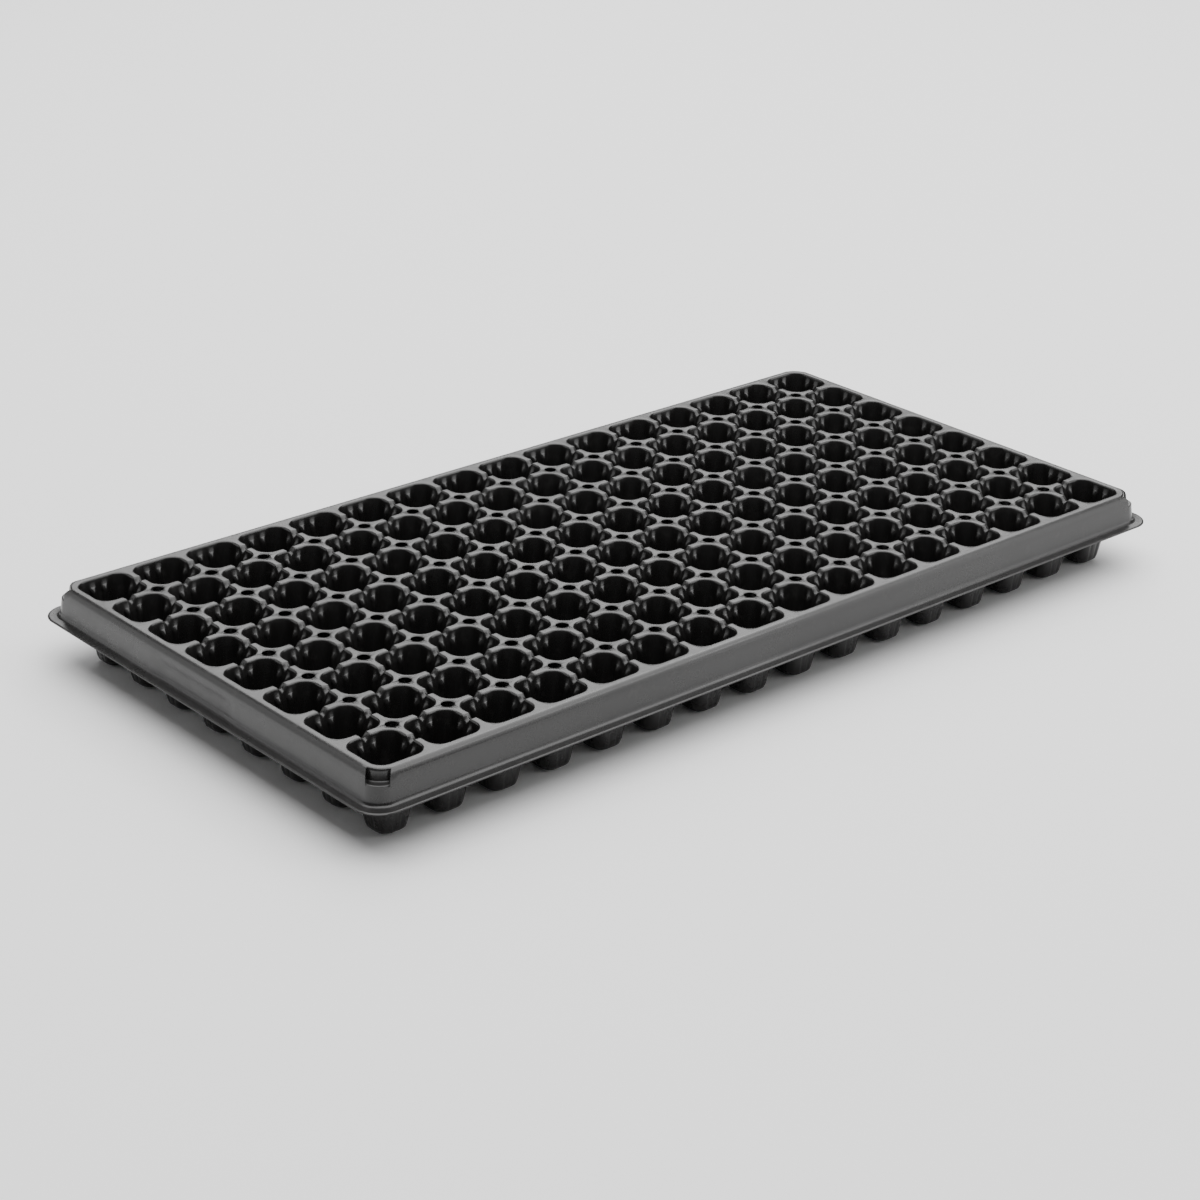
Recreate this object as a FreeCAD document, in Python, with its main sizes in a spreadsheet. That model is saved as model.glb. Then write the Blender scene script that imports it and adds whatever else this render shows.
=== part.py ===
"""Plug tray: 16 by 8 tapered cells, hung from one thin moulded sheet.

The real tray is a single vacuum-formed sheet. It is modelled here as its moulded regions,
which meet face to face: the four walls, four heels and floor of every cell, the webs of the deck
and their crossings, and the border, skirt and flange along each side and round each corner.

Frame: millimetres, +X along the length, +Y across the width, +Z up, with the origin on the floor
under the middle of the tray.
"""
import FreeCAD, Part
import math
import os
import Sketcher
from FreeCAD import Placement, Rotation, Vector

DIMENSIONS = {
    "cells_long": "16",        # cells along X
    "cells_wide": "8",         # cells along Y
    "pitch": "32.3",           # from one cell's centre to the next
    "deck_level": "41",        # top of the deck above the floor
    "deck_sheet": "0.8",       # thickness of the deck, border and skirt
    "cup_wall": "0.4",         # thickness of the cells, where the sheet is drawn out thin
    "mouth_half": "14.0",      # half the width of a cell at the deck
    "mouth_radius": "7.0",     # corner radius of a cell at the deck
    "foot_half": "8.2",        # half the width of a cell at the bottom of its walls
    "foot_radius": "6",        # corner radius of a cell at its foot
    "foot_round": "3.8",       # rounding between a cell's walls and its floor
    "drain_width": "6",        # diameter of the drain hole
    "vent_width": "5.5",       # diameter of the hole at each web crossing
    "notch_width": "4.9",      # width of the saddle notch in each web
    "notch_depth": "2.6",      # depth of the saddle notch
    "border_half": "20.4",     # from the outer cells' centres to the top of the skirt
    "border_radius": "8",      # corner radius of the border
    "border_round": "4",       # rounding from the deck into the skirt
    "skirt_flare": "1.5",      # how far the skirt leans out by its foot
    "flange_level": "25",      # top of the flange above the floor
    "flange_sheet": "0.8",     # thickness of the flange
    "flange_half": "27.75",    # from the outer cells' centres to the flange's edge
    "flange_radius": "14",     # corner radius of the flange
    "flange_bead": "1.2",      # rounding between skirt and flange
    "pocket_width": "11.5",    # width of the nesting pocket in each corner of the skirt
    "pocket_reach": "20.3",    # from the corner cell's centre to the pocket's back wall
    "pocket_depth": "6.2",     # from the deck down to the pocket's ledge
}
CLEARANCE = 60                 # how far a cutting or selecting box runs past the tray

doc = FreeCAD.newDocument("plug_tray")
sheet = doc.addObject("Spreadsheet::Sheet", "sheet")
for row, (alias, number) in enumerate(DIMENSIONS.items(), start=1):
    sheet.set(f"A{row}", alias)
    sheet.set(f"B{row}", number)
    sheet.setAlias(f"B{row}", alias)
doc.recompute()

# Sizes worked out from the sheet, as expressions
HALF_LONG = "(sheet.cells_long - 1) / 2 * sheet.pitch"
HALF_WIDE = "(sheet.cells_wide - 1) / 2 * sheet.pitch"
DECK_UNDERSIDE = "(sheet.deck_level - sheet.deck_sheet)"
CORNER_START = "(sheet.mouth_half - sheet.mouth_radius)"   # where a mouth's rounded corner begins
WEB_WIDTH = "(sheet.pitch - 2 * sheet.mouth_half)"
NOTCH_RADIUS = "(sheet.notch_width / 2)"
NOTCH_AXIS = "(sheet.deck_level - sheet.notch_depth + sheet.notch_width / 2)"
FLOOR_REACH = "(sheet.foot_half - sheet.foot_round - sheet.cup_wall)"
ROUND_IN = round(1 - math.cos(math.radians(45)), 3)   # share of a rounding's radius, halfway round it
ROUND_UP = round(math.cos(math.radians(45)), 3)       # the rest of that radius
WALL_LEAN = 0.12                                      # how far a cell's wall leans out for its height
CELLS_LONG = int(sheet.cells_long)
CELLS_WIDE = int(sheet.cells_wide)


def bind(item, **expressions):
    """Bind an object's properties to the sheet. Two underscores stand for a dot in the name."""
    for name, expression in expressions.items():
        item.setExpression(name.replace("__", "."), expression)
    return item


def box(name, low, high):
    """A box between two corners, each given as three expressions."""
    block = doc.addObject("Part::Box", name)
    sizes = [f"({b}) - ({a})" for a, b in zip(low, high)]
    return bind(block, Length=sizes[0], Width=sizes[1], Height=sizes[2], Placement__Base__x=low[0],
                Placement__Base__y=low[1], Placement__Base__z=low[2])


def cylinder(name, radius, length, x="0", y="0", z="0"):
    """An upright cylinder on the point x, y, z."""
    rod = doc.addObject("Part::Cylinder", name)
    return bind(rod, Radius=radius, Height=length, Placement__Base__x=x, Placement__Base__y=y,
                Placement__Base__z=z)


def combine(kind, name, base, tool):
    """A Part::Cut, Part::Common or Part::Fuse of two objects."""
    result = doc.addObject(f"Part::{kind}", name)
    result.Base = base
    result.Tool = tool
    return result


def join(name, items):
    """Several objects as one."""
    result = doc.addObject("Part::MultiFuse", name)
    result.Shapes = items
    return result


def repeat(name, masters, axis):
    """One copy of each of the masters in turn, a pitch apart along the axis, about the origin."""
    copies = []
    for place, master in enumerate(masters):
        copy = doc.addObject("App::Link", f"{name}_{place + 1}")
        copy.LinkedObject = master
        copy.LinkTransform = True
        steps = place - (len(masters) - 1) / 2
        copies.append(bind(copy, **{f"Placement__Base__{axis}": f"{steps} * sheet.pitch"}))
    group = doc.addObject("Part::Compound", name)
    group.Links = copies
    return group


def turned(name, master, angle):
    """A copy of the master, turned about the vertical axis."""
    copy = doc.addObject("Part::Compound", name)
    copy.Links = [master]
    copy.Placement = Placement(Vector(), Rotation(Vector(0, 0, 1), angle))
    return copy


def rounded_outline(owner, name, half_x, half_y, radius, level):
    """A sketch of a rectangle with rounded corners about the vertical axis, at a level."""
    if owner is doc:
        sketch = doc.addObject("Sketcher::SketchObject", name)
        bind(sketch, Placement__Base__z=level)
    else:
        sketch = owner.newObject("Sketcher::SketchObject", name)
        floor_plane = [item for item in owner.Origin.OriginFeatures if item.Role == "XY_Plane"][0]
        sketch.AttachmentSupport = [(floor_plane, "")]
        sketch.MapMode = "FlatFace"
        bind(sketch, AttachmentOffset__Base__z=level)
    flat, bend = 7.0, 3.0      # a first shape, before the constraints set the real one
    reach = flat + bend
    arcs = []
    for x, y, start in ((flat, flat, 0), (-flat, flat, 90), (-flat, -flat, 180), (flat, -flat, 270)):
        circle = Part.Circle(Vector(x, y, 0), Vector(0, 0, 1), bend)
        arc = Part.ArcOfCircle(circle, math.radians(start), math.radians(start + 90))
        arcs.append(sketch.addGeometry(arc, False))
    sides = []
    for a, b in (((flat, reach), (-flat, reach)), ((-reach, flat), (-reach, -flat)),
                 ((-flat, -reach), (flat, -reach)), ((reach, -flat), (reach, flat))):
        sides.append(sketch.addGeometry(Part.LineSegment(Vector(*a, 0), Vector(*b, 0)), False))
    rule = Sketcher.Constraint
    for k in range(4):
        sketch.addConstraint(rule("Tangent", arcs[k], 2, sides[k], 1))
        sketch.addConstraint(rule("Tangent", sides[k], 2, arcs[(k + 1) % 4], 1))
    for k in range(1, 4):
        sketch.addConstraint(rule("Equal", arcs[0], arcs[k]))
    for k, direction in enumerate(("Horizontal", "Vertical", "Horizontal", "Vertical")):
        sketch.addConstraint(rule(direction, sides[k]))
    sketch.addConstraint(rule("Symmetric", arcs[0], 3, arcs[2], 3, -1, 1))
    named = (("along", rule("Distance", sides[0], 2 * flat)),
             ("across", rule("Distance", sides[1], 2 * flat)),
             ("corner", rule("Radius", arcs[0], bend)))
    for label, constraint in named:
        sketch.renameConstraint(sketch.addConstraint(constraint), label)
    sketch.setExpression("Constraints.along", f"2 * (({half_x}) - ({radius}))")
    sketch.setExpression("Constraints.across", f"2 * (({half_y}) - ({radius}))")
    sketch.setExpression("Constraints.corner", radius)
    return sketch


def stacked(name, levels):
    """A solid through rounded rectangles round the whole tray, at several levels.

    Each level is a height, a distance out from the outer cells' centres, and a corner radius.
    """
    outlines = []
    for place, (level, out, radius) in enumerate(levels, start=1):
        half_x, half_y = f"{HALF_LONG} + {out}", f"{HALF_WIDE} + {out}"
        outlines.append(rounded_outline(doc, f"{name}_outline_{place}", half_x, half_y, radius, level))
    loft = doc.addObject("Part::Loft", name)
    loft.Sections = outlines
    loft.Solid = True
    loft.Ruled = True
    return loft


# ---------------------------------------------------------------- one cell, cut into its regions

def cell_body():
    """The whole cup of one cell: a tapered rounded square with a rounded foot and a drain hole."""
    body = doc.addObject("PartDesign::Body", "cell_cup")
    heel = f"{ROUND_IN} * sheet.foot_round"
    # level, half width and corner radius outside, then how much the inside's level is raised
    levels = (("floor", "0", "sheet.foot_half - sheet.foot_round",
               f"sheet.foot_radius - {ROUND_UP} * sheet.foot_round", "sheet.cup_wall"),
              ("heel", heel, f"sheet.foot_half - {heel}",
               f"sheet.foot_radius - {heel}", f"{ROUND_UP} * sheet.cup_wall"),
              ("foot", "sheet.foot_round", f"sheet.foot_half + {WALL_LEAN} * sheet.foot_round",
               "sheet.foot_radius", "0"),
              ("rim", DECK_UNDERSIDE, "sheet.mouth_half + sheet.cup_wall",
               "sheet.mouth_radius + sheet.cup_wall", "0"))
    outside, inside = [], []
    for name, level, half, radius, lift in levels:
        outside.append(rounded_outline(body, f"outside_{name}", half, half, radius, level))
        inner_half, inner_radius = f"{half} - sheet.cup_wall", f"{radius} - sheet.cup_wall"
        inside.append(rounded_outline(body, f"inside_{name}", inner_half, inner_half,
                                      inner_radius, f"{level} + {lift}"))
    for kind, name, outlines in (("AdditiveLoft", "outer_skin", outside),
                                 ("SubtractiveLoft", "inner_skin", inside)):
        loft = body.newObject(f"PartDesign::{kind}", name)
        loft.Profile = outlines[0]
        loft.Sections = outlines[1:]
        loft.Ruled = True
    ring = body.newObject("Sketcher::SketchObject", "drain_outline")
    ring.AttachmentSupport = outside[0].AttachmentSupport
    ring.MapMode = "FlatFace"
    hole = ring.addGeometry(Part.Circle(Vector(), Vector(0, 0, 1), 3), False)
    ring.addConstraint(Sketcher.Constraint("Coincident", hole, 3, -1, 1))
    width = ring.addConstraint(Sketcher.Constraint("Diameter", hole, 6))
    ring.renameConstraint(width, "width")
    ring.setExpression("Constraints.width", "sheet.drain_width")
    drain = body.newObject("PartDesign::Pocket", "drain_hole")
    drain.Profile = ring
    drain.Reversed = True                  # upwards, into the floor
    drain.setExpression("Length", "2 * sheet.cup_wall")
    return body


def quarter(name, low, high):
    """A block over the quarter of the cell on its -Y side, between two diagonals."""
    block = doc.addObject("Part::Box", name)
    bind(block, Length="sheet.pitch", Width="sheet.pitch", Height=f"({high}) - ({low})")
    block.Placement = Placement(Vector(), Rotation(Vector(0, 0, 1), -135))
    return bind(block, Placement__Base__z=low)


def notch_tool():
    """The saddle notch as a tool: a round-bottomed channel along Y across a web."""
    rod = cylinder("notch_round", NOTCH_RADIUS, "sheet.pitch", y="sheet.pitch / 2", z=NOTCH_AXIS)
    rod.Placement = Placement(Vector(), Rotation(Vector(1, 0, 0), 90))
    above = box("notch_top", (f"-{NOTCH_RADIUS}", "-sheet.pitch / 2", NOTCH_AXIS),
                (NOTCH_RADIUS, "sheet.pitch / 2", "sheet.deck_level + 1"))
    return join("notch", [rod, above])


cup = cell_body()
notch = notch_tool()
floor_block = cylinder("floor_block", FLOOR_REACH, "2 * sheet.cup_wall")
plain_wall = combine("Common", "plain_wall", cup,
                     quarter("wall_quarter", "sheet.foot_round", "sheet.deck_level"))
notched_wall = combine("Cut", "notched_wall", plain_wall, notch)
heel_ring = combine("Cut", "heel_ring", cup, floor_block)
heel = combine("Common", "heel", heel_ring, quarter("heel_quarter", "0", "sheet.foot_round"))
floor = combine("Common", "floor", cup, floor_block)

nodes = {}
for side, angle in (("front", 0), ("right", 90), ("rear", 180), ("left", 270)):
    plain = turned(f"plain_wall_{side}", plain_wall, angle)
    notched = turned(f"notched_wall_{side}", notched_wall, angle)
    lengthwise = side in ("front", "rear")
    inner_axis, inner_count, outer_axis, outer_count = \
        ("x", CELLS_LONG, "y", CELLS_WIDE) if lengthwise else ("y", CELLS_WIDE, "x", CELLS_LONG)
    plain_line = repeat(f"plain_line_{side}", [plain] * inner_count, inner_axis)
    notched_line = repeat(f"notched_line_{side}", [notched] * inner_count, inner_axis)
    lines = [notched_line] * outer_count
    lines[0 if side in ("front", "left") else -1] = plain_line   # no web beyond the outer cells
    nodes[f"cell_{side}_walls"] = repeat(f"cell_{side}_walls", lines, outer_axis)
    heel_line = repeat(f"heel_line_{side}", [turned(f"heel_{side}", heel, angle)] * CELLS_LONG, "x")
    nodes[f"cell_{side}_heels"] = repeat(f"cell_{side}_heels", [heel_line] * CELLS_WIDE, "y")
floor_line = repeat("floor_line", [floor] * CELLS_LONG, "x")
nodes["cell_floors"] = repeat("cell_floors", [floor_line] * CELLS_WIDE, "y")


# ---------------------------------------------------------------- the deck's webs

def web():
    """One web between two cells: a plate that dips in a round saddle at its middle."""
    plate = box("web_plate", (f"-{CORNER_START}", f"-{WEB_WIDTH} / 2", DECK_UNDERSIDE),
                (CORNER_START, f"{WEB_WIDTH} / 2", "sheet.deck_level"))
    between_cups = f"({WEB_WIDTH} / 2 - sheet.cup_wall)"
    outer_radius = f"({NOTCH_RADIUS} + sheet.deck_sheet)"
    pipe = doc.addObject("Part::Cylinder", "saddle_pipe")
    pipe.Placement = Placement(Vector(), Rotation(Vector(1, 0, 0), 90))
    bind(pipe, Radius=outer_radius, Height=f"2 * {between_cups}", Placement__Base__y=between_cups,
         Placement__Base__z=NOTCH_AXIS)
    below = box("saddle_below", (f"-{outer_radius}", f"-{between_cups}", "sheet.deck_level - sheet.pitch"),
                (outer_radius, between_cups, DECK_UNDERSIDE))
    saddle = combine("Common", "saddle", pipe, below)
    return combine("Cut", "web", join("web_and_saddle", [plate, saddle]), notch)


def crossing(name, low_y, with_vent):
    """The pad where webs meet, between the rounded corners of the mouths around it."""
    arm = f"(sheet.pitch / 2 - {CORNER_START})"
    pad = box(f"{name}_pad", (f"-{arm}", low_y, DECK_UNDERSIDE), (arm, arm, "sheet.deck_level"))
    holes = []
    corners = ((arm, arm), (f"-{arm}", arm), (arm, f"-{arm}"), (f"-{arm}", f"-{arm}"))
    for number, (x, y) in enumerate(corners):
        if with_vent or not y.startswith("-"):
            holes.append(cylinder(f"{name}_corner_{number}", "sheet.mouth_radius", "sheet.pitch", x, y))
    if with_vent:
        holes.append(cylinder(f"{name}_vent", "sheet.vent_width / 2", "sheet.pitch"))
    for hole in holes:
        bind(hole, Placement__Base__z="sheet.deck_level - sheet.pitch / 2")
    return combine("Cut", name, pad, join(f"{name}_holes", holes))


web_bar = web()
web_line = repeat("web_line", [web_bar] * CELLS_LONG, "x")
nodes["lengthwise_webs"] = repeat("lengthwise_webs", [web_line] * (CELLS_WIDE - 1), "y")
cross_line = repeat("cross_line", [turned("cross_web", web_bar, 90)] * CELLS_WIDE, "y")
nodes["crosswise_webs"] = repeat("crosswise_webs", [cross_line] * (CELLS_LONG - 1), "x")
star = crossing("crossing", f"-(sheet.pitch / 2 - {CORNER_START})", True)
star_line = repeat("star_line", [star] * (CELLS_LONG - 1), "x")
nodes["web_crossings"] = repeat("web_crossings", [star_line] * (CELLS_WIDE - 1), "y")

# where the webs run into the border: the inner half of a crossing, placed by its own pitch point
half_star = crossing("web_end", f"{WEB_WIDTH} / 2", False)
for side, angle, count, axis in (("front", 0, CELLS_LONG - 1, "x"), ("rear", 180, CELLS_LONG - 1, "x"),
                                 ("right", 90, CELLS_WIDE - 1, "y"), ("left", 270, CELLS_WIDE - 1, "y")):
    ends = repeat(f"web_ends_{side}", [turned(f"web_end_{side}", half_star, angle)] * count, axis)
    sign = "-" if side in ("front", "left") else ""
    if axis == "x":
        bind(ends, Placement__Base__y=f"{sign}sheet.cells_wide / 2 * sheet.pitch")
    else:
        bind(ends, Placement__Base__x=f"{sign}sheet.cells_long / 2 * sheet.pitch")
    nodes[f"web_ends_{side}"] = ends


# ---------------------------------------------------------------- border, skirt and flange

def pockets(name, grow):
    """The four nesting pockets cut into the skirt's corners, larger all round by grow."""
    blocks = []
    corners = ((1, 1, 45), (-1, 1, 135), (-1, -1, 225), (1, -1, 315))
    for number, (sign_x, sign_y, angle) in enumerate(corners):
        block = doc.addObject("Part::Box", f"{name}_{number + 1}")
        bind(block, Length="sheet.pitch", Width=f"sheet.pocket_width + 2 * {grow}", Height="sheet.pitch")
        block.Placement = Placement(Vector(), Rotation(Vector(0, 0, 1), angle))
        back = f"(sheet.pocket_reach - {grow})"
        half = f"(sheet.pocket_width / 2 + {grow})"
        along = Vector(math.cos(math.radians(angle)), math.sin(math.radians(angle)), 0)
        bind(block,
             Placement__Base__x=f"{sign_x} * {HALF_LONG} + {along.x} * {back} + {along.y} * {half}",
             Placement__Base__y=f"{sign_y} * {HALF_WIDE} + {along.y} * {back} - {along.x} * {half}",
             Placement__Base__z=f"sheet.deck_level - sheet.pocket_depth - {grow}")
        blocks.append(block)
    return join(name, blocks)


SKIRT_TOP = "(sheet.deck_level - sheet.border_round)"
ROUND_LEVEL = f"(sheet.deck_level - {ROUND_IN} * sheet.border_round)"
SKIRT_FOOT = "(sheet.border_half + sheet.skirt_flare)"
FOOT_RADIUS = "(sheet.border_radius + sheet.skirt_flare)"
BEAD_TOP = "(sheet.flange_level + sheet.flange_bead)"
# level, distance out, corner radius, then how many sheets lower the underside lies
rim_levels = (
    ("sheet.flange_level", f"({SKIRT_FOOT} + sheet.flange_bead)",
     f"({FOOT_RADIUS} + sheet.flange_bead)", 1),
    (BEAD_TOP, SKIRT_FOOT, FOOT_RADIUS, ROUND_IN),
    (SKIRT_TOP, "sheet.border_half", "sheet.border_radius", 0),
    (ROUND_LEVEL, f"(sheet.border_half - {ROUND_IN} * sheet.border_round)",
     f"(sheet.border_radius - {ROUND_IN} * sheet.border_round)", ROUND_UP),
    ("sheet.deck_level", "(sheet.border_half - sheet.border_round)",
     "(sheet.border_radius - sheet.border_round)", 1),
)
outer_levels, inner_levels = [], []
for level, out, radius, drop in rim_levels:
    outer_levels.append((level, out, radius))
    inner_levels.append((f"{level} - {drop} * sheet.deck_sheet", f"{out} - sheet.deck_sheet",
                         f"{radius} - sheet.deck_sheet"))
outer_block = combine("Cut", "outer_block", stacked("outer_stack", outer_levels), pockets("pocket", "0"))
inner_block = combine("Cut", "inner_block", stacked("inner_stack", inner_levels),
                      pockets("pocket_outside", "sheet.deck_sheet"))
flange_outline = rounded_outline(doc, "flange_outline", f"{HALF_LONG} + sheet.flange_half",
                                 f"{HALF_WIDE} + sheet.flange_half", "sheet.flange_radius",
                                 "sheet.flange_level - sheet.flange_sheet")
flange_plate = doc.addObject("Part::Extrusion", "flange_plate")
flange_plate.Base = flange_outline
flange_plate.Dir = Vector(0, 0, 1)
flange_plate.Solid = True
flange_plate.setExpression("LengthFwd", "sheet.flange_sheet")
rim_sheet = combine("Cut", "rim_sheet", join("rim_block", [flange_plate, outer_block]), inner_block)

mouth_outline = rounded_outline(doc, "mouth_outline", "sheet.mouth_half", "sheet.mouth_half",
                                "sheet.mouth_radius", "sheet.flange_level")
mouth = doc.addObject("Part::Extrusion", "mouth")
mouth.Base = mouth_outline
mouth.Dir = Vector(0, 0, 1)
mouth.Solid = True
mouth.setExpression("LengthFwd", "sheet.pitch")

LEDGE_UNDERSIDE = "(sheet.deck_level - sheet.pocket_depth - sheet.deck_sheet)"
layers = (("border", LEDGE_UNDERSIDE, "sheet.deck_level + 1"),
          ("skirt", BEAD_TOP, LEDGE_UNDERSIDE),
          ("flange", "sheet.flange_level - sheet.flange_sheet - 1", BEAD_TOP))
inside_x, inside_y = f"({HALF_LONG} + {CORNER_START})", f"({HALF_WIDE} + {CORNER_START})"
edge_x, edge_y = f"({HALF_LONG} + sheet.mouth_half)", f"({HALF_WIDE} + sheet.mouth_half)"
far_x, far_y = f"({HALF_LONG} + {CLEARANCE})", f"({HALF_WIDE} + {CLEARANCE})"
spans = {
    "front": ((f"-{inside_x}", f"-{far_y}"), (inside_x, f"-{edge_y}")),
    "rear": ((f"-{inside_x}", edge_y), (inside_x, far_y)),
    "left": ((f"-{far_x}", f"-{inside_y}"), (f"-{edge_x}", inside_y)),
    "right": ((edge_x, f"-{inside_y}"), (far_x, inside_y)),
    "front_left": ((f"-{far_x}", f"-{far_y}"), (f"-{inside_x}", f"-{inside_y}")),
    "front_right": ((inside_x, f"-{far_y}"), (far_x, f"-{inside_y}")),
    "rear_left": ((f"-{far_x}", inside_y), (f"-{inside_x}", far_y)),
    "rear_right": ((inside_x, inside_y), (far_x, far_y)),
}
for place, (low, high) in spans.items():
    for layer, bottom, top in layers:
        name = f"{layer}_{place}"
        region = box(f"{name}_region", (*low, bottom), (*high, top))
        cornered = layer == "border" and "_" in place
        piece = combine("Common", f"{name}_square" if cornered else name, rim_sheet, region)
        if cornered:
            sign_x = "-" if place.endswith("left") else ""
            sign_y = "-" if place.startswith("front") else ""
            corner_mouth = doc.addObject("App::Link", f"mouth_{place}")
            corner_mouth.LinkedObject = mouth
            corner_mouth.LinkTransform = True
            bind(corner_mouth, Placement__Base__x=f"{sign_x}({HALF_LONG})",
                 Placement__Base__y=f"{sign_y}({HALF_WIDE})")
            piece = combine("Cut", name, piece, corner_mouth)
        nodes[name] = piece

doc.recompute()
for item in doc.Objects:
    if any(word in item.State for word in ("Invalid", "Error")):
        raise RuntimeError(f"{item.Name} did not compute: {item.State}")
for name, item in nodes.items():
    if item.Shape.isNull() or not item.Shape.isValid() or not item.Shape.Solids:
        raise RuntimeError(f"{name} has no valid solid")
    item.Label = name

Part.setStaticValue("write.surfacecurve.mode", 0)   # leave out curves that repeat the surfaces
os.makedirs("parts", exist_ok=True)
for name, item in nodes.items():
    item.Shape.exportStep(f"parts/{name}.step")
    bounds = item.Shape.BoundBox
    print(f"{name}: {len(item.Shape.Solids)} solids, {item.Shape.Volume / 1000:.2f} cm3, "
          f"z {bounds.ZMin:.2f} to {bounds.ZMax:.2f}")
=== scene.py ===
import math

import bpy
import numpy as np
from mathutils import Matrix, Vector


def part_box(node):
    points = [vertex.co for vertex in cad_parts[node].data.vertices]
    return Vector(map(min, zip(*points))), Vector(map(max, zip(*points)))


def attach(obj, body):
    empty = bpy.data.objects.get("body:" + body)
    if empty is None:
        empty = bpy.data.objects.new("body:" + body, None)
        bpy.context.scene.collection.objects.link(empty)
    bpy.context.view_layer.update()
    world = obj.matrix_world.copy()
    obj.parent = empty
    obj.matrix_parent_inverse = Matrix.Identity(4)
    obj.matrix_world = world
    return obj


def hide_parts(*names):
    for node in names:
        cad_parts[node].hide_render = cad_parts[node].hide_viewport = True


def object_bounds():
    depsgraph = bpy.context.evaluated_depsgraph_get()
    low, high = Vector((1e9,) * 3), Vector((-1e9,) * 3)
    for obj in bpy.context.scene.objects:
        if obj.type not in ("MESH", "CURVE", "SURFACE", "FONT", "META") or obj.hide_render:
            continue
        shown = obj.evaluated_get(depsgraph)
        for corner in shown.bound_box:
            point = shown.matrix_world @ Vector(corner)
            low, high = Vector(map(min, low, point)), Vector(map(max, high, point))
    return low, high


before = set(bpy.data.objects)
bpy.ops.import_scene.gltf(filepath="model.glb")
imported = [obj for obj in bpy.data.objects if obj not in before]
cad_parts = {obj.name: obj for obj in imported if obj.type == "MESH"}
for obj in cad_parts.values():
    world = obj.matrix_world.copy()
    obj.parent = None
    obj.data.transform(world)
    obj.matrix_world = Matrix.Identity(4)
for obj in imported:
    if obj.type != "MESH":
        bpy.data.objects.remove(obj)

cad_low, cad_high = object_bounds()

# ------------------------------------------------------------------ sizes, in millimetres

MM = 0.001
CELLS_LONG, CELLS_WIDE = 16, 8


def box_mm(node):
    """The lowest and the highest corner of a node of the frame."""
    low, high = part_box(node)
    return np.array(low) / MM, np.array(high) / MM


floor_low, floor_high = box_mm("cell_floors")
floor_span = floor_high - floor_low
PITCH = (floor_span[0] - floor_span[1]) / (CELLS_LONG - CELLS_WIDE)
TILE = PITCH / 2
HALF_LONG = (CELLS_LONG - 1) / 2 * PITCH       # to the outer cells' centres
HALF_WIDE = (CELLS_WIDE - 1) / 2 * PITCH
DECK = box_mm("web_crossings")[1][2]

DECK_SHEET, WALL_SHEET, FLOOR_SHEET = 0.8, 0.45, 0.4
WALL_LEVEL = 30                                # where the sheet is WALL_SHEET thick
FLANGE_UNDER = box_mm("flange_front")[0][2]
FLANGE_TOP = FLANGE_UNDER + DECK_SHEET
FLANGE_OUT = cad_high.x / MM - HALF_LONG       # from the outer cells' centres to the flange's edge

# a cell, from its mouth down to its drain hole
MOUTH_HALF, MOUTH_CENTRE, MOUTH_RADIUS = 13.9, 7.0, 6.9
MOUTH_ROUND, MOUTH_ROUND_OUT = 1.0, 1.0
FOOT_HALF, FOOT_RADIUS, FOOT_TOP = 8.256, 5.6, 3.8
FLOOR_HALF, FLOOR_RADIUS, DRAIN_RADIUS = 4.0, 2.9, 3.0
BENDS = (0, 30, 60, 90)                        # degrees, where a quarter round has its points
LIP_SHARE = 0.6                                # where the ring between mouth and web middle lies

# a vent hole: the lip's arc stops short of the webs, and its end points are set back from them
VENT_RADIUS, VENT_LIP, VENT_DROP = 3.15, 3.5, 0.3
LIP_ARC = (7, 83)
LIP_SET_BACK = (0.6, 0.3)

NOTCH_HALF, NOTCH_DEPTH, NOTCH_START = 2.9, 2.7, 7.0
NOTCH_SHARPNESS = 1.5
NOTCH_CROWN = (0.9, 0.78)      # share of its depth that a notch has on the last two rings of a cell

RIB_PLACE, RIB_HALF, RIB_SHARPNESS = 3.6, 2.0, 0.8
# level, and how far the ribs stand out of the wall there: domed tops, then fading towards the foot
RIB_STAND = ((FOOT_TOP, 0.1), (20.0, 0.5), (DECK - 9.5, 1.2), (DECK - 7.0, 1.5), (DECK - 6.0, 1.35),
             (DECK - 5.2, 0.95), (DECK - 4.7, 0.65), (DECK - 4.3, 0.35), (DECK - 4.0, 0.0))

# border, skirt and flange
BORDER_OUT, BORDER_RADIUS, BORDER_ROUND = 16.4, 4.0, 4.0
SKIRT_SLOPE = 1.5 / 10.8
SKIRT_LEVELS = (33.6, 31.0)                    # of its places between the pockets and the fillet
FILLET = 2.0
FLANGE_RADIUS = 14.0
FLANGE_EDGE = ((1.0, 0.0), (0.3, 0.08), (0.0, 0.35))     # distance in from the flange's edge, and drop
FLANGE_EDGE_LIFT = 0.15                        # how far the underside rises at the edge
# places across the border's rounding, chosen so that they run on into the corner pockets' profile
ROUND_OUT = (0.0, 0.45, 0.89, 1.24, 1.53, 1.67, 1.81, 2.16, 2.6, 3.06, 3.5, 3.9)

# a corner pocket
LEDGE_DEPTH, POCKET_REACH = 6.2, 20.3
LEDGE = DECK - LEDGE_DEPTH
BELOW_LEDGE = 0.2              # where the plain skirt takes over under a pocket
# its wall: distance from the line where it starts down, and level
POCKET_WALL = ((-0.1, DECK), (0.4, DECK - 0.15), (0.8, DECK - 0.6), (1.0, DECK - 1.4),
               (1.2, LEDGE + 0.6), (1.7, LEDGE + 0.05))
LEDGE_EDGE = ((1.0, 0.0), (0.55, 0.02), (0.2, 0.08))     # distance in from the skirt, and drop

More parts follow.
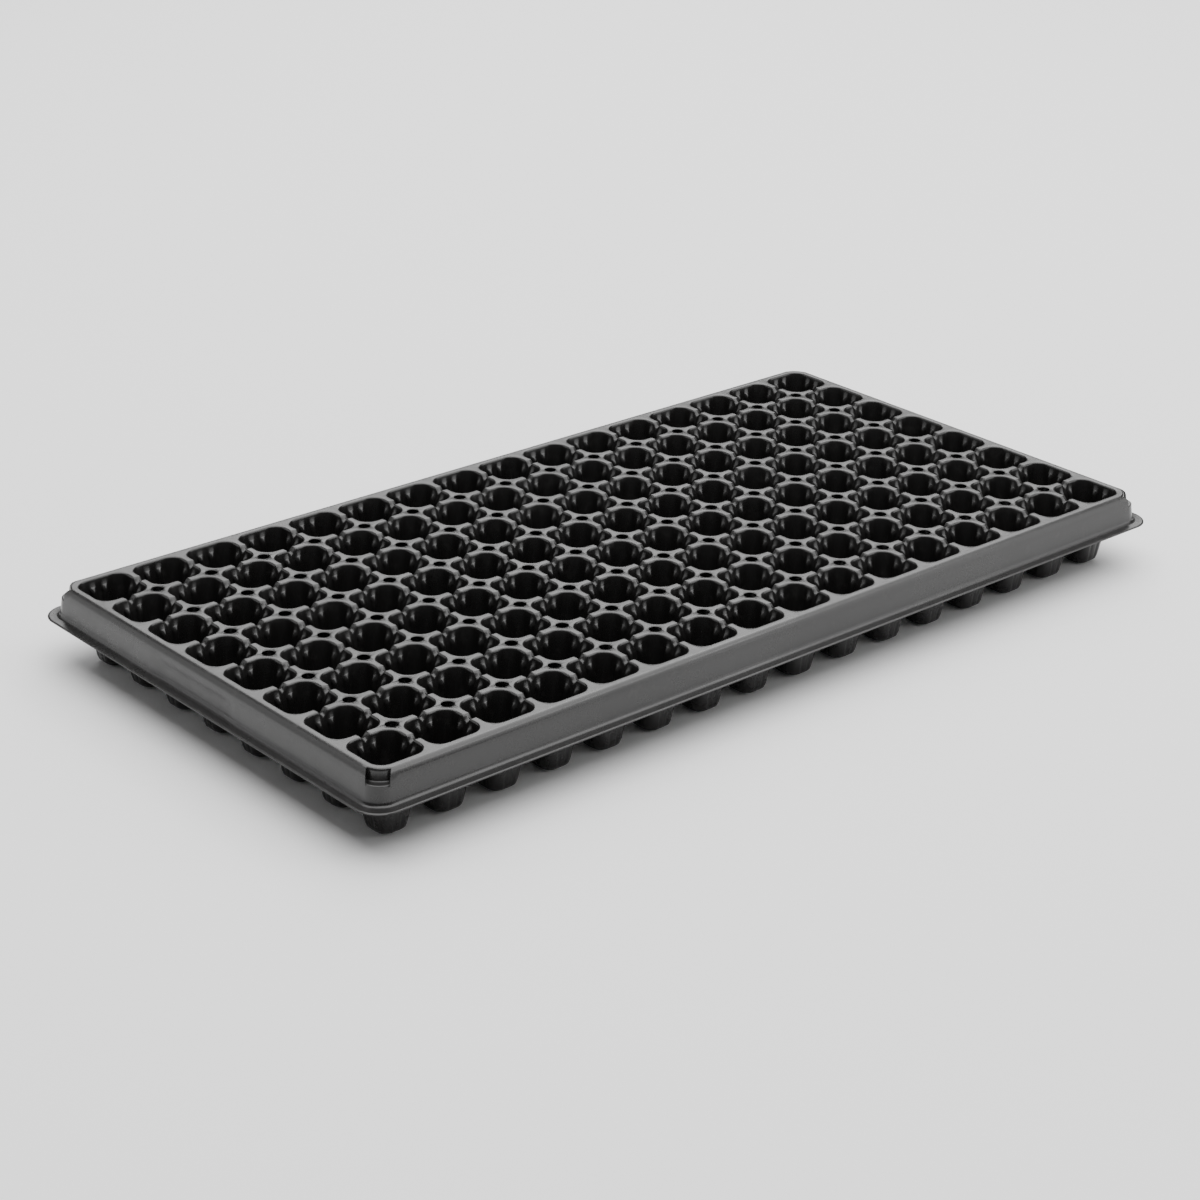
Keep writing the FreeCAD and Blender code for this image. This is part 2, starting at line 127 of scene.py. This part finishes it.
# numbers of the profile's places where the pocket, and the fillet above the flange, end
POCKET_END = len(ROUND_OUT) + 1
FILLET_END = POCKET_END + len(SKIRT_LEVELS) + len(BENDS)
EASE_PLACES = 5                # places over which the columns below a pocket spread out evenly

# the shallow recess in the skirt at -X, along y, and the share of its depth from pocket end to fillet end
RECESS_LOW, RECESS_HIGH, RECESS_DEPTH, RECESS_RAMP = -27.0, 47.0, 0.6, 14.0
RECESS_SHARE = (0.45, 1, 1, 1, 1, 0.8, 0.35)

# places along a cell's side where its ring of points has one, closer together at notch and ribs
HALF_SIDE = (0.0, 0.6, 1.1, 1.6, 2.0, 2.5, 3.0, 3.6, 4.2, 4.7, 5.2, 5.6, 6.0, MOUTH_CENTRE)
SIDE = np.array([-t for t in HALF_SIDE[:0:-1]] + list(HALF_SIDE))
PLAIN = PITCH                  # stands for a place that has no notch and no rib
CORNER_STEPS = 12
EVEN_TURN = np.arange(1, CORNER_STEPS) * 90.0 / CORNER_STEPS
TRAY_TURN = 45.0 + np.array([-37.5, -35.5, -28, -19, -9.5, 0, 9.5, 19, 28, 35.5, 37.5])

WELD_STEPS = 2000              # per millimetre: points that round to the same step are one point
ON_A_SEAM = 1e-4
SHARP_ANGLE = 50               # degrees, where shading shows an edge


def turn(points, k):
    """Points (u outward, v along) of side k, as x and y."""
    u, v = points[..., 0], points[..., 1]
    return np.stack(((u, v), (-v, u), (-u, -v), (v, -u))[k % 4], axis=-1)


def round_directions(degrees):
    """Unit vectors at angles from +u."""
    angles = np.radians(degrees)
    return np.stack((np.cos(angles), np.sin(angles)), axis=-1)


# ------------------------------------------------------------------ meshes

def weld(points, faces):
    """Joins points in the same place, and gives the points and faces that are left."""
    keys = np.round(points * WELD_STEPS).astype(np.int64)
    _, first, inverse = np.unique(keys, axis=0, return_index=True, return_inverse=True)
    return points[first], inverse.reshape(-1)[faces]


def grid_faces(rows, columns):
    """Quads between rings of points, ring by ring, each ring closed."""
    r, c = np.meshgrid(np.arange(rows - 1), np.arange(columns), indexing="ij")
    a = r * columns + c
    b = r * columns + (c + 1) % columns
    return np.stack((a, b, b + columns, a + columns), axis=-1).reshape(-1, 4)


def face_normals(points, faces):
    """A vector out of each face, twice as long as its area."""
    a, b, c, d = (points[faces[:, k]] for k in range(4))
    return np.cross(c - a, d - b)


def facing_up(points, faces):
    """The faces, all turned over if most of their area looks down."""
    return faces[:, ::-1] if face_normals(points, faces)[:, 2].sum() < 0 else faces


def point_normals(points, faces):
    """Unit vectors out of the points, from the faces round each."""
    outward = face_normals(points, faces)
    normals = np.zeros_like(points)
    for k in range(4):
        np.add.at(normals, faces[:, k], outward)
    return normals / np.linalg.norm(normals, axis=1)[:, None]


def thicken(points, faces, normals, sheet):
    """A closed sheet: the upper face's points, the same again a sheet lower, and the edges between."""
    count = len(points)
    lower = points - normals * sheet[:, None]
    edges = np.concatenate([faces[:, [k, (k + 1) % 4]] for k in range(4)])
    keys = np.sort(edges, axis=1)
    _, where, times = np.unique(keys, axis=0, return_index=True, return_counts=True)
    open_edges = edges[where[times == 1]]
    a, b = open_edges[:, 0], open_edges[:, 1]
    sides = np.stack((b, a, a + count, b + count), axis=-1)
    return np.concatenate((points, lower)), np.concatenate((faces, faces[:, ::-1] + count, sides))


def make_piece(name, points, faces):
    """An object from points in millimetres and quads."""
    mesh = bpy.data.meshes.new(name)
    mesh.vertices.add(len(points))
    mesh.vertices.foreach_set("co", (points * MM).astype(np.float32).ravel())
    mesh.loops.add(faces.size)
    mesh.loops.foreach_set("vertex_index", faces.astype(np.int32).ravel())
    mesh.polygons.add(len(faces))
    mesh.polygons.foreach_set("loop_start", np.arange(0, faces.size, 4, dtype=np.int32))
    mesh.update(calc_edges=True)
    mesh.validate()
    mesh.shade_smooth()
    mesh.set_sharp_from_angle(angle=math.radians(SHARP_ANGLE))
    piece = bpy.data.objects.new(name, mesh)
    bpy.context.scene.collection.objects.link(piece)
    return piece


# ------------------------------------------------------------------ one cell

def ray_outline(directions, half, radius):
    """Where rays from a cell's middle meet a rounded square."""
    c, s = np.abs(directions[:, 0]), np.abs(directions[:, 1])
    far, near = np.maximum(c, s), np.minimum(c, s)
    flat = half - radius
    straight = half / far
    both = flat * (c + s)
    root = np.sqrt(np.maximum(both ** 2 - 2 * flat ** 2 + radius ** 2, 0))
    reach = np.where(straight * near <= flat, straight, both + root)
    return directions * reach[:, None]


def notch_drop(along):
    """How far a web dips at a place along it: a rounded saddle at its middle."""
    inside = np.clip(np.abs(along) / NOTCH_HALF, 0, 1)
    return NOTCH_DEPTH * np.cos(inside * math.pi / 2) ** NOTCH_SHARPNESS


def vent_corner(count):
    """The last two rings' points round a corner with a vent hole, and how far the hole's edge dips."""
    inner = np.radians(np.linspace(*LIP_ARC, count - 2))
    outer = np.radians(np.linspace(0, 90, count - 2))
    lip = TILE - VENT_LIP * np.stack((np.sin(inner), np.cos(inner)), -1)
    hole = TILE - VENT_RADIUS * np.stack((np.sin(outer), np.cos(outer)), -1)
    start, end = np.array([[TILE, TILE - VENT_LIP]]), np.array([[TILE - VENT_LIP, TILE]])
    lip = np.concatenate((start - LIP_SET_BACK, lip, end - LIP_SET_BACK[::-1]))
    drop = np.zeros(count)
    drop[1:-1] = VENT_DROP
    return lip, np.concatenate((start, hole, end)), drop


def corner_paths(kind, normal):
    """The last two rings' points round one corner of a cell, and how far each dips."""
    if kind == "vent":
        return vent_corner(len(normal))
    if kind == "border":
        steps = np.linspace(MOUTH_CENTRE, TILE, len(normal) // 2 + 2)[1:]
        up = np.stack((np.full(len(steps), TILE), steps), -1)
        edge = np.concatenate((up, up[-2::-1, ::-1]))
    else:
        edge = MOUTH_CENTRE + (TILE - MOUTH_CENTRE) * normal
    mouth = MOUTH_CENTRE + (MOUTH_RADIUS + MOUTH_ROUND_OUT) * normal
    return mouth + (edge - mouth) * LIP_SHARE, edge, np.zeros(len(normal))


def cell_outlines(web_sides, corner_kinds):
    """A cell's rings at mouth, lip and web middle, and what shapes them, point by point.

    After the three rings: the directions out of the mouth, the dip beside a vent hole, the places
    along the sides, and the same places where a side's web is notched.
    """
    mouth, lip, edge, outward, drop, along = [], [], [], [], [], []
    mouth_edge = MOUTH_HALF + MOUTH_ROUND_OUT
    for k in range(4):
        kind = corner_kinds[k]
        normal = round_directions(TRAY_TURN if kind == "tray" else EVEN_TURN)
        corner_lip, corner_edge, corner_drop = corner_paths(kind, normal)
        side = [np.stack((np.full(len(SIDE), half), SIDE), axis=-1) for half in
                (MOUTH_HALF, mouth_edge + (TILE - mouth_edge) * LIP_SHARE, TILE)]
        mouth.append(turn(np.concatenate((side[0], MOUTH_CENTRE + MOUTH_RADIUS * normal)), k))
        lip.append(turn(np.concatenate((side[1], corner_lip)), k))
        edge.append(turn(np.concatenate((side[2], corner_edge)), k))
        outward.append(turn(np.concatenate((np.tile([1.0, 0.0], (len(SIDE), 1)), normal)), k))
        drop.append(np.concatenate((np.zeros(len(SIDE)), corner_drop)))
        place = np.concatenate((SIDE, np.full(len(normal), PLAIN)))
        along.append(np.stack((place, place if web_sides[k] else np.full(len(place), PLAIN))))
    rings = [np.concatenate(part) for part in (mouth, lip, edge, outward, drop)]
    return *rings, *np.concatenate(along, axis=1)


def cell(web_sides, corner_kinds):
    """The upper face of one cell and its share of the deck, as rings from drain hole to web middle.

    web_sides says which sides have a notched web. corner_kinds says what each corner runs into:
    a vent hole, the plain border, or the tray's own corner.
    """
    mouth, lip, edge, outward, drop, place, web_place = cell_outlines(web_sides, corner_kinds)
    rays = mouth / np.linalg.norm(mouth, axis=1)[:, None]
    rib = np.clip(1 - ((np.abs(place) - RIB_PLACE) / RIB_HALF) ** 2, 0, None) ** RIB_SHARPNESS

    rings = [(rays * DRAIN_RADIUS, FLOOR_SHEET)]
    for bend in BENDS[:-1]:
        swing, rise = math.sin(math.radians(bend)), 1 - math.cos(math.radians(bend))
        half = FLOOR_HALF + (FOOT_HALF - FLOOR_HALF) * swing
        radius = FLOOR_RADIUS + (FOOT_RADIUS - FLOOR_RADIUS) * swing
        rings.append((ray_outline(rays, half, radius), FLOOR_SHEET + (FOOT_TOP - FLOOR_SHEET) * rise))
    wall_top = DECK - MOUTH_ROUND
    for level, stand in RIB_STAND + ((wall_top, 0.0),):
        share = (level - FOOT_TOP) / (wall_top - FOOT_TOP)
        half = FOOT_HALF + (MOUTH_HALF - FOOT_HALF) * share
        radius = FOOT_RADIUS + (MOUTH_RADIUS - FOOT_RADIUS) * share
        rings.append((ray_outline(rays, half, radius) - outward * (rib * stand)[:, None], level))
    for bend in BENDS[1:]:
        out = MOUTH_ROUND_OUT * (1 - math.cos(math.radians(bend)))
        rings.append((mouth + outward * out, wall_top + MOUTH_ROUND * math.sin(math.radians(bend))))
    rings += [(lip, DECK), (edge, DECK - drop)]

    points = np.zeros((len(rings), len(mouth), 3))
    dip = notch_drop(web_place)
    for number, (plan, level) in enumerate(rings):
        share = np.clip((level - DECK + NOTCH_START) / (NOTCH_START - MOUTH_ROUND), 0, 1)
        if number >= len(rings) - len(NOTCH_CROWN):
            share = share * NOTCH_CROWN[number - len(rings)]
        points[number, :, :2] = plan
        points[number, :, 2] = level - dip * share
    return points


def corner_kind(i, j, k):
    """What corner k of cell i, j runs into; corner 0 is at +X +Y, and they go round anticlockwise."""
    beyond_x = i == CELLS_LONG - 1 if k in (0, 3) else i == 0
    beyond_y = j == CELLS_WIDE - 1 if k in (0, 1) else j == 0
    if beyond_x and beyond_y:
        return "tray"
    return "border" if beyond_x or beyond_y else "vent"


def cell_row(j):
    """One row of cells along the tray, as a closed piece."""
    middle = j * PITCH - HALF_WIDE
    points, faces, count = [], [], 0
    for i in range(CELLS_LONG):
        webs = (i < CELLS_LONG - 1, j < CELLS_WIDE - 1, i > 0, j > 0)
        one = cell(webs, [corner_kind(i, j, k) for k in range(4)])
        rows, columns = one.shape[:2]
        faces.append(grid_faces(rows, columns) + count)
        count += rows * columns
        points.append(one.reshape(-1, 3) + (i * PITCH - HALF_LONG, middle, 0))
    points, faces = weld(np.concatenate(points), np.concatenate(faces))
    faces = facing_up(points, faces)
    normals = point_normals(points, faces)
    for axis, centre, reach in ((0, 0.0, HALF_LONG + TILE), (1, middle, TILE)):
        seam = np.abs(np.abs(points[:, axis] - centre) - reach) < ON_A_SEAM
        normals[seam, axis] = 0
    normals /= np.linalg.norm(normals, axis=1)[:, None]
    sheet = np.interp(points[:, 2], (FLOOR_SHEET, WALL_LEVEL, DECK), (FLOOR_SHEET, WALL_SHEET, DECK_SHEET))
    return make_piece(f"cell_row_{j + 1}", *thicken(points, faces, normals, sheet))


# ------------------------------------------------------------------ border, skirt and flange

def skirt_out(level):
    """How far the skirt stands outside the deck's edge at a level below its rounding."""
    return BORDER_ROUND + (DECK - BORDER_ROUND - level) * SKIRT_SLOPE


def rounding_level(out):
    """Height of the border's rounding at a distance outside the deck's edge."""
    return DECK - BORDER_ROUND + math.sqrt(BORDER_ROUND ** 2 - out ** 2)


def rim_profile():
    """Places across the border, skirt and flange: distance outside the deck's edge, and level."""
    stations = [(TILE - BORDER_OUT, DECK)]
    for out in ROUND_OUT:
        stations.append((out, rounding_level(out)))
    for level in (LEDGE - BELOW_LEDGE,) + SKIRT_LEVELS:
        stations.append((skirt_out(level), level))
    start = skirt_out(FLANGE_TOP + FILLET)
    for bend in BENDS:
        swing = math.radians(bend)
        stations.append((start + FILLET * (1 - math.cos(swing)), FLANGE_TOP + FILLET * (1 - math.sin(swing))))
    edge = FLANGE_OUT - BORDER_OUT
    stations += [(edge - back, FLANGE_TOP - drop) for back, drop in FLANGE_EDGE]
    return stations


PROFILE = rim_profile()


def border_level(u, v):
    """Height of the deck, its rounding or the skirt at a place outside a corner cell's centre."""
    bend = BORDER_OUT - BORDER_RADIUS
    if u > bend and v > bend:
        out = math.hypot(u - bend, v - bend) - BORDER_RADIUS
    else:
        out = max(u, v) - BORDER_OUT
    if out <= 0:
        return DECK
    if out <= BORDER_ROUND:
        return rounding_level(out)
    return DECK - BORDER_ROUND - (out - BORDER_ROUND) / SKIRT_SLOPE


def pocket_section(w, inner):
    """Places (reach, level) over deck, pocket wall and ledge, at a distance w from a corner's diagonal."""
    middle = math.sqrt(2) * MOUTH_CENTRE
    bend = math.sqrt(2) * (BORDER_OUT - BORDER_RADIUS)
    back = middle + math.sqrt((POCKET_REACH - middle) ** 2 - w * w)

    def outline(out):
        """Reach of the corner's round outline at a distance outside the deck's edge."""
        return bend + math.sqrt((BORDER_RADIUS + out) ** 2 - w * w)

    wall = [(back + step, level) for step, level in POCKET_WALL]
    edge = [(outline(skirt_out(LEDGE) - step), LEDGE - drop) for step, drop in LEDGE_EDGE]
    third = (wall[0][0] - inner) / 3
    deck = [(inner + third * part, DECK) for part in range(3)]
    ledge_middle = ((wall[-1][0] + edge[0][0]) / 2, LEDGE)
    out, level = PROFILE[POCKET_END]
    return deck + wall + [ledge_middle] + edge + [(outline(out), level)]


def corner_columns():
    """Columns of points round one corner of the tray, u and v outside the corner cell's centre."""
    edge_radius = TILE - MOUTH_CENTRE
    bend = BORDER_OUT - BORDER_RADIUS
    flange_start = PROFILE[FILLET_END][0]
    places = TRAY_TURN - 45
    middle = (len(places) - 1) / 2
    columns = []
    for place, angle in enumerate(places):
        w = edge_radius * math.sin(math.radians(angle))
        inner = MOUTH_CENTRE * math.sqrt(2) + edge_radius * math.cos(math.radians(angle))
        beside = place in (0, len(places) - 1)          # stands beside the pocket, on the full height
        at = edge_radius * math.sin(math.radians(places[1])) if beside else w
        column = []
        for reach, level in pocket_section(at, inner):
            u, v = (reach - w) / math.sqrt(2), (reach + w) / math.sqrt(2)
            top = border_level(u, v)
            column.append((u, v, top if beside else min(top, level)))
        first = math.degrees(math.asin(w / (BORDER_RADIUS + PROFILE[POCKET_END][0])))
        last = 45 * (place - middle) / middle
        for station in range(POCKET_END + 1, len(PROFILE)):
            out, level = PROFILE[station]
            share = min(1, (station - POCKET_END) / EASE_PLACES)
            swing = math.radians(45 + first * (1 - share) + last * share)
            flange_share = min(1, max(0, (out - flange_start) / (PROFILE[-1][0] - flange_start)))
            centre = bend + (FLANGE_OUT - FLANGE_RADIUS - bend) * flange_share
            radius = BORDER_OUT + out - centre
            column.append((centre + radius * math.cos(swing), centre + radius * math.sin(swing), level))
        columns.append(column)
    return columns


def recess_depth(y):
    """How deep the shallow recess in the skirt at -X is at a place along it."""
    rise = np.clip((y - RECESS_LOW) / RECESS_RAMP, 0, 1) * np.clip((RECESS_HIGH - y) / RECESS_RAMP, 0, 1)
    return RECESS_DEPTH * rise * rise * (3 - 2 * rise)


def rim_columns():
    """Columns of points across the rim, all the way round, as an array."""
    corner = corner_columns()
    steps = np.linspace(MOUTH_CENTRE, TILE, CORNER_STEPS // 2 + 1)[1:]
    recess_share = np.zeros(len(PROFILE))
    recess_share[POCKET_END:FILLET_END + 1] = RECESS_SHARE
    columns = []
    for k in range(4):
        at_end = k in (0, 2)
        tiles = CELLS_WIDE if at_end else CELLS_LONG
        half_u, half_v = (HALF_LONG, HALF_WIDE) if at_end else (HALF_WIDE, HALF_LONG)
        side = []
        for tile in range(tiles):
            centre = tile * PITCH - half_v
            along = list(SIDE)
            if tile > 0:
                along = [-s for s in steps[::-1]] + along
            if tile < tiles - 1:
                along = along + list(steps[:-1])
            for v in along:
                column = np.array([(half_u + BORDER_OUT + out, centre + v, z) for out, z in PROFILE])
                if k == 2:
                    column[:, 0] -= recess_depth(-(centre + v)) * recess_share
                side.append(column)
        side += [np.array(column) + (half_u, half_v, 0) for column in corner]
        side = np.array(side)
        columns.append(np.concatenate((turn(side[..., :2], k), side[..., 2:]), axis=-1))
    return np.concatenate(columns)


def rim():
    """The border's edge, the skirt and the flange all round, as a closed piece."""
    columns = rim_columns()
    count = len(columns)
    points = columns.transpose(1, 0, 2).reshape(-1, 3)
    faces = facing_up(points, grid_faces(len(PROFILE), count))
    normals = point_normals(points, faces)
    ring = np.arange(len(points)) // count
    normals[ring == 0] = (0, 0, 1)
    solid = thicken(points, faces, normals, np.full(len(points), DECK_SHEET))
    lower = solid[0][len(points):]
    brim = ring >= FILLET_END
    lower[brim, :2] = points[brim, :2]
    lower[brim, 2] = FLANGE_UNDER
    lower[ring == len(PROFILE) - 1, 2] = FLANGE_UNDER + FLANGE_EDGE_LIFT
    return make_piece("rim", *solid)


# ------------------------------------------------------------------ material

PLASTIC = (0.0085, 0.0080, 0.0078, 1)
WORN_PLASTIC = (0.033, 0.032, 0.030, 1)
MIX_SHARE, MIX_A, MIX_B, MIX_RESULT = 0, 6, 7, 2         # colour sockets of the Mix node


def black_sheet():
    """Satin black vacuum-formed polystyrene, with the faint grain, scuffs and dust of handled trays."""
    material = bpy.data.materials.new("black_sheet")
    material.use_nodes = True
    nodes, links = material.node_tree.nodes, material.node_tree.links
    shader = nodes["Principled BSDF"]
    shader.inputs["IOR"].default_value = 1.55
    place = nodes.new("ShaderNodeTexCoord")

    def noise(scale, detail, rough=0.5):
        """A noise fixed to the piece."""
        node = nodes.new("ShaderNodeTexNoise")
        node.inputs["Scale"].default_value = scale
        node.inputs["Detail"].default_value = detail
        node.inputs["Roughness"].default_value = rough
        links.new(place.outputs["Object"], node.inputs["Vector"])
        return node.outputs["Fac"]

    def ranged(value, low, high, to_low, to_high):
        """A value stretched from one range to another, and held inside it."""
        node = nodes.new("ShaderNodeMapRange")
        for name, number in (("From Min", low), ("From Max", high), ("To Min", to_low), ("To Max", to_high)):
            node.inputs[name].default_value = number
        links.new(value, node.inputs["Value"])
        return node.outputs["Result"]

    def math_node(kind, a, b):
        """Two values joined by a sum or a product; a plain number is given as a float."""
        node = nodes.new("ShaderNodeMath")
        node.operation = kind
        for socket, value in zip(node.inputs, (a, b)):
            if isinstance(value, float):
                socket.default_value = value
            else:
                links.new(value, socket)
        return node.outputs[0]

    broad, grain, dust = noise(14, 3), noise(900, 2), noise(160, 6, 0.65)
    wear = nodes.new("ShaderNodeNewGeometry").outputs["Pointiness"]
    edge = ranged(wear, 0.52, 0.62, 0.0, 1.0)
    scuff = math_node("MULTIPLY", edge, ranged(dust, 0.4, 0.7, 0.0, 1.0))
    colour = nodes.new("ShaderNodeMix")
    colour.data_type = "RGBA"
    colour.inputs[MIX_A].default_value = PLASTIC
    colour.inputs[MIX_B].default_value = WORN_PLASTIC
    specks = ranged(dust, 0.55, 0.8, 0.0, 0.5)
    links.new(math_node("ADD", specks, math_node("MULTIPLY", scuff, 0.5)), colour.inputs[MIX_SHARE])
    links.new(colour.outputs[MIX_RESULT], shader.inputs["Base Color"])
    rough = math_node("ADD", ranged(broad, 0.3, 0.7, 0.22, 0.32), ranged(dust, 0.45, 0.8, 0.0, 0.1))
    links.new(math_node("ADD", rough, math_node("MULTIPLY", scuff, 0.12)), shader.inputs["Roughness"])
    bump = nodes.new("ShaderNodeBump")
    bump.inputs["Strength"].default_value = 0.09
    bump.inputs["Distance"].default_value = 0.0002
    links.new(math_node("ADD", grain, math_node("MULTIPLY", broad, 3.0)), bump.inputs["Height"])
    links.new(bump.outputs["Normal"], shader.inputs["Normal"])
    return material


# ------------------------------------------------------------------ the pieces

sheet_material = black_sheet()
pieces = [cell_row(j) for j in range(CELLS_WIDE)] + [rim()]
for piece in pieces:
    piece.data.materials.append(sheet_material)
    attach(piece, "root")

around = [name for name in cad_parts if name.split("_")[0] in ("border", "skirt", "flange")]
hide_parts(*around)
within = [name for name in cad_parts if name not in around]
for piece in pieces[:-1]:
    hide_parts(*within)

# ------------------------------------------------------------------ floor, light and camera, in metres

PAPER_REACH = 12.0
WORLD_STRENGTH = 0.16
CAMERA_AZIMUTH, CAMERA_ELEVATION, CAMERA_ROLL = -41.66, 24.30, 1.04
CAMERA_DISTANCE = 1.371
CAMERA_AIM = (-0.0630, -0.0541)                # on the deck
CAMERA_LENS, CAMERA_SENSOR = 82.24, 36         # in millimetres


def paper():
    """Matt white paper under the tray."""
    material = bpy.data.materials.new("paper")
    material.use_nodes = True
    shader = material.node_tree.nodes["Principled BSDF"]
    shader.inputs["Base Color"].default_value = (0.93, 0.93, 0.93, 1)
    shader.inputs["Roughness"].default_value = 0.9
    shader.inputs["Specular IOR Level"].default_value = 0.1
    return material


floor_mesh = bpy.data.meshes.new("floor")
floor_corners = [(x * PAPER_REACH, y * PAPER_REACH, 0) for x, y in ((-1, -1), (1, -1), (1, 1), (-1, 1))]
floor_mesh.from_pydata(floor_corners, [], [(0, 1, 2, 3)])
floor = bpy.data.objects.new("floor", floor_mesh)
bpy.context.scene.collection.objects.link(floor)
floor_mesh.materials.append(paper())

world = bpy.data.worlds.new("studio")
world.use_nodes = True
world.node_tree.nodes["Background"].inputs["Color"].default_value = (1, 1, 1, 1)
world.node_tree.nodes["Background"].inputs["Strength"].default_value = WORLD_STRENGTH
bpy.context.scene.world = world


def around_point(azimuth, elevation, distance, point):
    """A place seen from a point at an azimuth (0 is -Y, 90 is +X) and elevation, in degrees."""
    a, e = math.radians(azimuth), math.radians(elevation)
    return point + distance * Vector((math.sin(a) * math.cos(e), -math.cos(a) * math.cos(e), math.sin(e)))


def softbox(name, azimuth, elevation, distance, size, power):
    """A rectangular light that faces the tray's middle, its size in metres and its power in watts."""
    light = bpy.data.lights.new(name, "AREA")
    light.shape = "RECTANGLE"
    light.size, light.size_y = size
    light.energy = power
    lamp = bpy.data.objects.new(name, light)
    bpy.context.scene.collection.objects.link(lamp)
    lamp.location = around_point(azimuth, elevation, distance, Vector((0, 0, 0)))
    lamp.rotation_euler = (-lamp.location).to_track_quat("-Z", "Y").to_euler()


softbox("back_box", 138, 33, 2.6, (2.3, 1.3), 31)
softbox("top_box", 90, 82, 2.2, (3.6, 3.6), 138)
softbox("right_box", 47, 21, 2.6, (1.6, 2.3), 27)
softbox("left_box", -142, 22, 2.6, (1.4, 2.2), 11)

aim = Vector((*CAMERA_AIM, DECK * MM))
camera_data = bpy.data.cameras.new("camera")
camera_data.sensor_width = CAMERA_SENSOR
camera_data.lens = CAMERA_LENS
camera_data.clip_end = 50
camera = bpy.data.objects.new("camera", camera_data)
bpy.context.scene.collection.objects.link(camera)
camera.location = around_point(CAMERA_AZIMUTH, CAMERA_ELEVATION, CAMERA_DISTANCE, aim)
level_view = (aim - camera.location).to_track_quat("-Z", "Y").to_matrix().to_4x4()
camera.rotation_euler = (level_view @ Matrix.Rotation(math.radians(CAMERA_ROLL), 4, "Z")).to_euler()
bpy.context.scene.camera = camera
